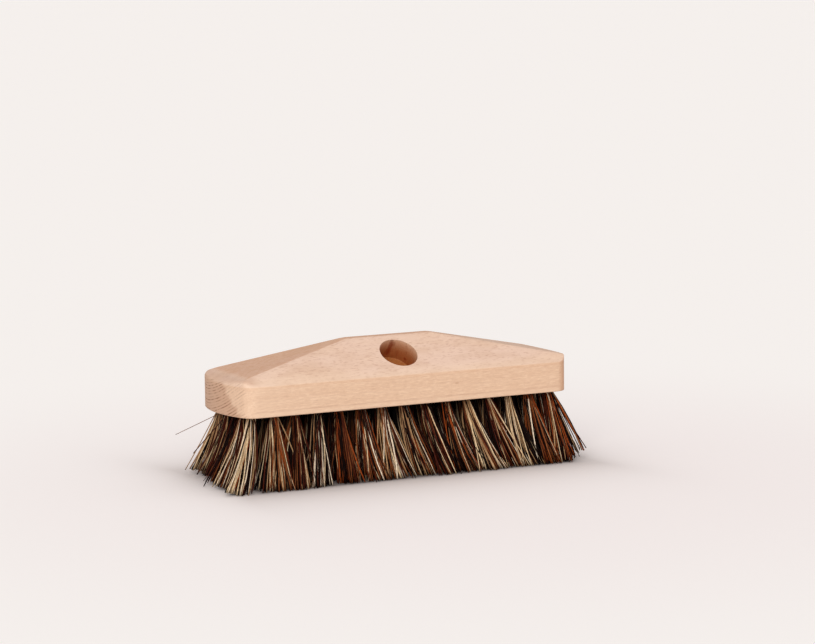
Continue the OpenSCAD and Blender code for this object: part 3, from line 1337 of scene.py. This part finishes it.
@dataclass(frozen=True)
class Bundle:
    """What one tuft's fibres are laid out from, with places from the centre of its hole.

    Each fibre has a distance from the hole's middle (away), a place where its back leg leaves the
    hole (mouth) and a radius. Each clump has a place at the mouth and a shift at the tips.
    """

    row: int
    centre: np.ndarray
    away: np.ndarray
    mouth: np.ndarray
    lean: np.ndarray
    radii: np.ndarray
    clump_at: np.ndarray
    clump_shift: np.ndarray
    strays: list[Stray]


@dataclass(frozen=True)
class Tuft:
    """One tuft's fibres.

    The path has shape (fibre, ring, 3), radii and kind have one value for each fibre, and deep,
    of shape (fibre, ring), is how far inside the brush a fibre leaves the block, from 0 to 1. The
    fibre's material paints that much shade on it.
    """

    path: np.ndarray
    radii: np.ndarray
    kind: np.ndarray
    deep: np.ndarray


@dataclass
class TuftColumn:
    """One column of tufts. Each tuft is a bundle of fibres that are folded over its anchor."""

    plan: HolePlan
    column: int
    flare: Flare = Flare()
    mix: FibreMix = FibreMix()
    seed: int = 1000

    # Fibres in a tuft, what the end columns have on top, and the clumps that they stand in
    folded: int = 50
    extra_at_ends: int = 12
    clumps: int = 14
    # Radius of the root at the mouth and beside the anchor, and half the parting in its middle
    packed_r: float = 2.5
    held_r: float = 2.2
    parting: float = 0.40
    # Least and greatest radius of a fibre, the powers of the draw between them, and the taper
    thin: float = 0.19
    thick: float = 0.70
    draw_powers: Span = (1.3, 2.4)
    taper: float = 0.12
    # The fold: its margin over the anchor, its pinch, and how far it starts below the anchor's top
    fold_margin: float = 0.45
    fold_pinch: float = 0.6
    fold_start: float = 0.1
    fold_rings: int = 4
    # How far inside the brush the painted shade starts, its run, and the power of its fall along a leg
    shade_from: float = 2.0
    shade_run: float = 7.0
    shade_power: float = 1.2
    # The rings of a leg, as shares from the tip at 1 to the mouth at 0, and the points on a ring
    leg_rings: tuple = (1.0, 0.78, 0.55, 0.30, 0.0)
    sides: int = 3
    # A fibre's square on the map: the unrolled sides, and the two ends above them
    unrolled: Span = (0.08, 0.80)
    ends: tuple = (((0.10, 0.86), (0.40, 0.86), (0.25, 0.95)), ((0.50, 0.86), (0.80, 0.86), (0.65, 0.95)))

    strays: tuple = (
        Stray(0, 3, (-129.4, 29.0, 27.0), Hair.BROWN, 0.24),
        Stray(0, 3, (-123.2, 17.0, 16.6), Hair.UMBER, 0.34),
        Stray(14, 0, (125.5, -20.0, 8.0), Hair.BROWN, 0.22),
        Stray(14, 0, (121.2, -27.0, 1.8), Hair.BLACK, 0.36),
        Stray(0, 1, (-127.5, -8.0, 0.6), Hair.BLACK, 0.36),
    )

    @property
    def end(self) -> End:
        """The end of the brush that the column is at."""
        return {0: End.LEFT, self.plan.columns - 1: End.RIGHT}.get(self.column, End.NEITHER)

    @property
    def along(self) -> np.ndarray:
        """How far each ring of a fibre is from the mouth, from 0 to 1."""
        return np.array([*self.leg_rings, *(0.0,) * self.fold_rings, *self.leg_rings[::-1]])

    def bundle(self, row: int, rng: np.random.Generator) -> Bundle:
        """Draws a tuft's roots, lean, fibre radii and clumps.

        The roots fill a half disc evenly: their distance from its middle is its radius times the
        square root of a draw. The other half of the hole takes the fibres' second legs.

        Args:
            row: the tuft's row.
            rng: source of random draws.

        Returns:
            The draws.
        """
        count = self.folded + (0 if self.end is End.NEITHER else self.extra_at_ends)
        centre = self.plan.at(self.column, row)
        away = self.packed_r * np.sqrt(rng.uniform(0, 1, count))
        mouth = away[:, None] * unit_at(rng.uniform(0, math.pi, count))
        mouth[:, 1] = np.maximum(mouth[:, 1], self.parting)
        lean = self.lean(row, centre) + rng.normal(0, self.flare.tuft_scatter, 2)
        radii = self.thin + (self.thick - self.thin) * rng.beta(*self.draw_powers, count)
        clump_at = rng.uniform(-1, 1, (self.clumps, 2)) * self.packed_r
        scatter = self.flare.right_clump_scatter if self.end is End.RIGHT else self.flare.clump_scatter
        clump_shift = rng.normal(0, scatter, (self.clumps, 2))
        strays = [stray for stray in self.strays if (stray.column, stray.row) == (self.column, row)]
        return Bundle(row, centre, away, mouth, lean, radii, clump_at, clump_shift, strays)

    def lean(self, row: int, centre: np.ndarray) -> np.ndarray:
        """How far a tuft's tips lean out past its root, along and across the block.

        Args:
            row: the tuft's row.
            centre: the centre of its hole.

        Returns:
            The lean.
        """
        flare = self.flare
        outward = centre[1] / self.plan.half[1]
        splay = flare.front_splay if outward < 0 else flare.back_splay
        along = np.interp(centre[0], flare.lean_at, flare.lean_by)
        if self.end is End.LEFT:
            along -= flare.left_lean[row]
        return np.array([along, splay * math.copysign(abs(outward) ** flare.splay_power, outward)])

    def leg(self, bundle: Bundle, side: int, rng: np.random.Generator) -> np.ndarray:
        """The middle lines of one leg of each fibre, from tip to mouth, round the hole's centre.

        A leg is a straight line from mouth to tip, plus a parabola across it and a slow wave that
        grows towards the tip.

        Args:
            bundle: the tuft's draws.
            side: 1 for the leg on the back of the anchor and -1 for the one in front.
            rng: source of random draws.

        Returns:
            Points of shape (fibre, ring, 3).
        """
        flare = self.flare
        at = bundle.mouth * (1, side)
        count = len(at)
        own = rng.normal(0, 1, (count, 2)) * flare.own_scatter
        loose = (rng.uniform(0, 1, count) < flare.loose_share)[:, None]
        loose = loose * rng.normal(0, 1, (count, 2)) * flare.loose_scatter
        shift = bundle.clump_shift[nearest(at, bundle.clump_at)]
        tip = at * flare.widening + shift + own + loose + bundle.lean
        short = (rng.uniform(0, 1, count) < flare.short_share) * rng.uniform(0, flare.short_by, count)
        low = np.abs(rng.normal(0, flare.trim_scatter, count)) + short + self.flick(bundle, tip[:, 0])
        low = np.maximum(low, bundle.radii)
        tip = np.clip(tip, flare.tip_low - bundle.centre, flare.tip_high - bundle.centre)
        curl = (np.interp(bundle.centre[0], flare.curl_at, flare.curl_by), flare.curl_across)
        curl = np.clip(bundle.lean * curl, -flare.curl_limit, flare.curl_limit)
        bow = rng.normal(0, flare.bow_scatter, (count, 2)) - curl
        wave = rng.normal(0, flare.wave_scatter, (count, 2))
        phase = rng.uniform(0, 2 * math.pi, count)
        for number, stray in enumerate(bundle.strays if side > 0 else []):
            tip[number] = stray.tip[:2] - bundle.centre
            low[number] = stray.tip[2]
            bow[number] = 0.0
        t = np.array(self.leg_rings)[:, None]
        flat = (at[:, None] * (1 - t) + tip[:, None] * t + bow[:, None] * 4 * t * (1 - t)
                + wave[:, None] * np.sin(flare.wave_angle * t + phase[:, None, None]) * t)
        return at_height(flat, self.plan.block.under_z * (1 - t[:, 0]) + low[:, None] * t[:, 0])

    def flick(self, bundle: Bundle, x: np.ndarray) -> np.ndarray:
        """How much the outermost tips of an end column stay off the floor.

        It grows evenly with how far out a tip is in its tuft.

        Args:
            bundle: the tuft's draws.
            x: places of the tips along the block.

        Returns:
            The heights.
        """
        flare = self.flare
        by_row = {End.LEFT: flare.left_flick, End.RIGHT: flare.right_flick}.get(self.end)
        if by_row is None:
            return np.zeros(len(x))
        rim = self.end.value * (x - bundle.lean[0]) / (self.packed_r * flare.widening[0])
        return by_row[bundle.row] * np.clip(rim, 0, flare.flick_limit)

    def fold(self, bundle: Bundle) -> np.ndarray:
        """The part of each fibre that is folded over the anchor, higher the further out the fibre is.

        Args:
            bundle: the tuft's draws.

        Returns:
            Points of shape (fibre, ring, 3), round the hole's centre.
        """
        top, margin = self.plan.anchor_top, self.fold_margin
        held = bundle.mouth * np.minimum(1.0, self.held_r / bundle.away)[:, None]
        bend_z = top + margin + (self.plan.fold_t - 2 * margin) * bundle.mouth[:, 1] / self.packed_r
        beside = at_height(held, top - self.fold_start)
        over = at_height(held * (1, self.fold_pinch), bend_z)
        return np.stack([beside, over, over * (1, -1, 1), beside * (1, -1, 1)], 1)

    def depth(self, bundle: Bundle, side: int) -> np.ndarray:
        """How deep inside the brush each fibre leaves the block, fading towards its tip: the share of painted
        shade on it.

        Args:
            bundle: the tuft's draws.
            side: 1 for the leg on the back of the anchor and -1 for the one in front.

        Returns:
            Values from 0 to 1, of shape (fibre, ring).
        """
        at = bundle.mouth * (1, side) + bundle.centre
        inside = self.packed_r + (self.plan.half - np.abs(at)).min(-1)
        share = np.clip((inside - self.shade_from) / self.shade_run, 0, 1)
        return share[:, None] * (1 - np.array(self.leg_rings)) ** self.shade_power

    def tuft(self, row: int, rng: np.random.Generator) -> Tuft:
        """Lays out a tuft's fibres.

        A fibre runs from one tip up to the hole's mouth, over the anchor and down to its other tip.

        Args:
            row: the tuft's row.
            rng: source of random draws.

        Returns:
            The fibres.
        """
        bundle = self.bundle(row, rng)
        back = self.leg(bundle, 1, rng)
        front = self.leg(bundle, -1, rng)
        fold = self.fold(bundle)
        path = np.concatenate([back, fold, front[:, ::-1]], 1) + (*bundle.centre, 0)
        # The fold, inside its hole, takes the full painted shade
        folded = np.ones(fold.shape[:2])
        deep = np.concatenate([self.depth(bundle, 1), folded, self.depth(bundle, -1)[:, ::-1]], 1)
        weights = self.mix.weights(self.column, row, rng)
        kind = self.mix.kinds(weights, nearest(bundle.mouth, bundle.clump_at), self.clumps, rng)
        radii = bundle.radii.copy()
        for number, stray in enumerate(bundle.strays):
            radii[number], kind[number] = stray.radius, stray.kind.value
        return Tuft(path, radii, kind, deep)

    def tubes(self, tuft: Tuft, rng: np.random.Generator) -> np.ndarray:
        """Rings of points round a tuft's paths.

        Each ring lies square to its path. Its first arm is X made square to the path, and the
        ring is turned by a random angle, which is the same all along a fibre.

        Args:
            tuft: the tuft.
            rng: source of random draws.

        Returns:
            Points of shape (fibre, ring, side, 3).
        """
        path = tuft.path
        ahead = np.gradient(path, axis=1)
        ahead /= np.linalg.norm(ahead, axis=-1, keepdims=True)
        arm = np.array([1.0, 0, 0]) - ahead * ahead[..., :1]
        arm /= np.linalg.norm(arm, axis=-1, keepdims=True)
        other = np.cross(ahead, arm)
        turn = rng.uniform(0, 2 * math.pi, len(path))[:, None]
        turn = turn + np.arange(self.sides) * 2 * math.pi / self.sides
        arms = np.stack([arm, other], 2)
        spoke = (unit_at(turn)[:, None, :, :, None] * arms[:, :, None]).sum(3)
        width = tuft.radii[:, None] * (1 - self.taper * self.along**2)
        return path[:, :, None] + spoke * width[:, :, None, None]

    def build(self, finish: bpy.types.Material) -> bpy.types.Object:
        """Makes the column's fibres as one piece.

        Args:
            finish: the fibre's material.

        Returns:
            The finished piece.
        """
        rng = np.random.default_rng(self.seed + self.column)
        tufts = [self.tuft(row, rng) for row in range(self.plan.rows)]
        points = np.concatenate([self.tubes(tuft, rng) for tuft in tufts])
        count, rings, sides = points.shape[:3]
        shift = np.arange(count)[:, None, None] * rings * sides
        quads = (grid_faces(rings, sides) + shift).reshape(-1, 4)
        first = (np.arange(sides)[::-1] + shift[:, 0]).reshape(-1, sides)
        last = (np.arange(sides) + (rings - 1) * sides + shift[:, 0]).reshape(-1, sides)
        name = f"fibre_tufts_col_{self.column + 1:02d}"
        piece = mesh_object(name, points.reshape(-1, 3), [quads, first, last])
        kind = np.concatenate([tuft.kind for tuft in tufts])
        marks = {
            "hair": np.repeat((kind + 0.5) / len(Hair), rings * sides),
            "along": np.tile(np.repeat(self.along, sides), count),
            # Share of painted shade deep inside the brush
            "deep": np.repeat(np.concatenate([tuft.deep for tuft in tufts]).ravel(), sides),
        }
        for label, values in marks.items():
            layer = piece.data.attributes.new(label, "FLOAT", "POINT")
            layer.data.foreach_set("value", values.astype(np.float32))
        self.unwrap(piece, count, rings)
        piece.data.materials.append(finish)
        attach(piece, BODY)
        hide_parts(f"tufts_col_{self.column + 1:02d}")
        return piece

    def unwrap(self, piece: bpy.types.Object, count: int, rings: int) -> None:
        """Gives each fibre a square of its own on the map, unrolled, with its two ends beside it.

        Args:
            piece: the column's piece.
            count: number of fibres.
            rings: number of rings on a fibre.
        """
        across = math.ceil(math.sqrt(count))
        cell = np.stack([np.arange(count) % across, np.arange(count) // across], -1)[:, None]
        low, high = self.unrolled
        face = np.stack(np.meshgrid(np.arange(self.sides), np.arange(rings - 1)), -1)[:, :, None]
        corners = face + np.array([(0, 0), (1, 0), (1, 1), (0, 1)])
        body = low + (high - low) * corners / (self.sides, rings - 1)
        parts = [body.reshape(-1, 2), *np.array(self.ends)]
        places = np.concatenate([(part + cell).reshape(-1, 2) for part in parts]) / across
        layer = piece.data.uv_layers.new(name="OFBake")
        layer.data.foreach_set("uv", places.astype(np.float32).ravel())


@dataclass(frozen=True)
class Anchors:
    """The wire anchors, which keep the frame's own solids."""

    prefix: str = "anchors"

    def dress(self, finish: bpy.types.Material) -> list[bpy.types.Object]:
        """Gives every anchor the wire's material.

        Args:
            finish: the wire's material.

        Returns:
            The anchors' objects.
        """
        nodes = [node for name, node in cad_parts.items() if name.startswith(self.prefix)]
        for node in nodes:
            for slot in node.material_slots:
                slot.material = finish
        return nodes


@dataclass(frozen=True)
class Stage:
    """The floor, the lights and the camera."""

    # Half the floor's size, the camera's distance and how far it sees, in metres
    floor_half: float = 14.0
    distance: float = 1.935
    sight: float = 100.0
    # Where the camera looks from, in degrees, and how it is shifted, in millimetres
    azimuth: float = -27.3
    elevation: float = 7.35
    roll: float = 0.63
    aim_right: float = 12.64
    aim_up: float = 46.70
    pixels_per_mm: float = 1.622
    # Soft light from all round, and a broad one from the front left
    fill: float = 0.60
    fill_colour: Triple = (1.0, 0.985, 0.97)
    key: float = 1.56
    key_colour: Triple = (1.0, 0.985, 0.965)
    key_width: float = 40.0
    key_from: Triple = (-0.47, -0.75, 0.47)

    def floor(self) -> bpy.types.Object:
        """Lays the paper: flat under the brush and far behind it.

        Returns:
            The paper.
        """
        half = self.floor_half / MM
        points = np.array([(-half, -half, 0), (half, -half, 0), (half, half, 0), (-half, half, 0)], float)
        floor = mesh_object("paper_floor", points, [np.array([(0, 1, 2, 3)])], smooth=False)
        floor.data.materials.append(PaperFinish().material())
        return floor

    def light(self) -> None:
        """Sets the two lights."""
        world = bpy.data.worlds.new("studio")
        bpy.context.scene.world = world
        world.use_nodes = True
        back = world.node_tree.nodes["Background"]
        back.inputs["Color"].default_value = (*self.fill_colour, 1.0)
        back.inputs["Strength"].default_value = self.fill
        data = bpy.data.lights.new("key", "SUN")
        data.energy = self.key
        data.angle = math.radians(self.key_width)
        data.color = self.key_colour
        lamp = bpy.data.objects.new("key", data)
        bpy.context.scene.collection.objects.link(lamp)
        toward = Vector(self.key_from).to_track_quat("Z", "Y")
        lamp.matrix_world = toward.to_matrix().to_4x4()

    def camera(self, centre_z: float) -> None:
        """Puts the camera where the photograph was taken from.

        The angles and distances were fitted to the block's edges in the photograph.

        Args:
            centre_z: height of the point aimed from, in millimetres.
        """
        a, e, r = (math.radians(v) for v in (self.azimuth, self.elevation, self.roll))
        back = np.array([math.sin(a) * math.cos(e), -math.cos(a) * math.cos(e), math.sin(e)])
        right = np.array([math.cos(a), math.sin(a), 0.0])
        up = np.cross(back, right)
        tilted_right = math.cos(r) * right - math.sin(r) * up
        tilted_up = math.sin(r) * right + math.cos(r) * up
        shift = tilted_right * self.aim_right + tilted_up * self.aim_up + (0, 0, centre_z)
        data = bpy.data.cameras.new("photo_camera")
        data.sensor_width = SENSOR_MM
        data.lens = self.pixels_per_mm * self.distance / MM * SENSOR_MM / PICTURE_WIDTH
        data.clip_end = self.sight
        camera = bpy.data.objects.new("photo_camera", data)
        bpy.context.scene.collection.objects.link(camera)
        turn = np.eye(4)
        turn[:3] = np.column_stack([tilted_right, tilted_up, back, back * self.distance + shift * MM])
        camera.matrix_world = Matrix(turn)
        bpy.context.scene.camera = camera


def main() -> None:
    """Builds and dresses the brush, sets the stage and reports each piece."""
    logging.basicConfig(level=logging.INFO, format="%(message)s")
    bpy.context.scene.view_settings.view_transform = "Standard"
    block = Block.from_frame()
    plan = HolePlan(block)
    stage = Stage()
    stage.camera(block.under_z)
    stage.light()
    stage.floor()

    pieces = [block.build(BeechFinish().material(block), plan)]
    fibre = FibreFinish().material()
    pieces += [TuftColumn(plan, column).build(fibre) for column in range(plan.columns)]
    pieces += Anchors().dress(WireFinish().material())
    for piece in pieces:
        LOG.info("%s: %d faces", piece.name, len(piece.data.polygons))

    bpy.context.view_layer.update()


if __name__ == "__main__":
    main()
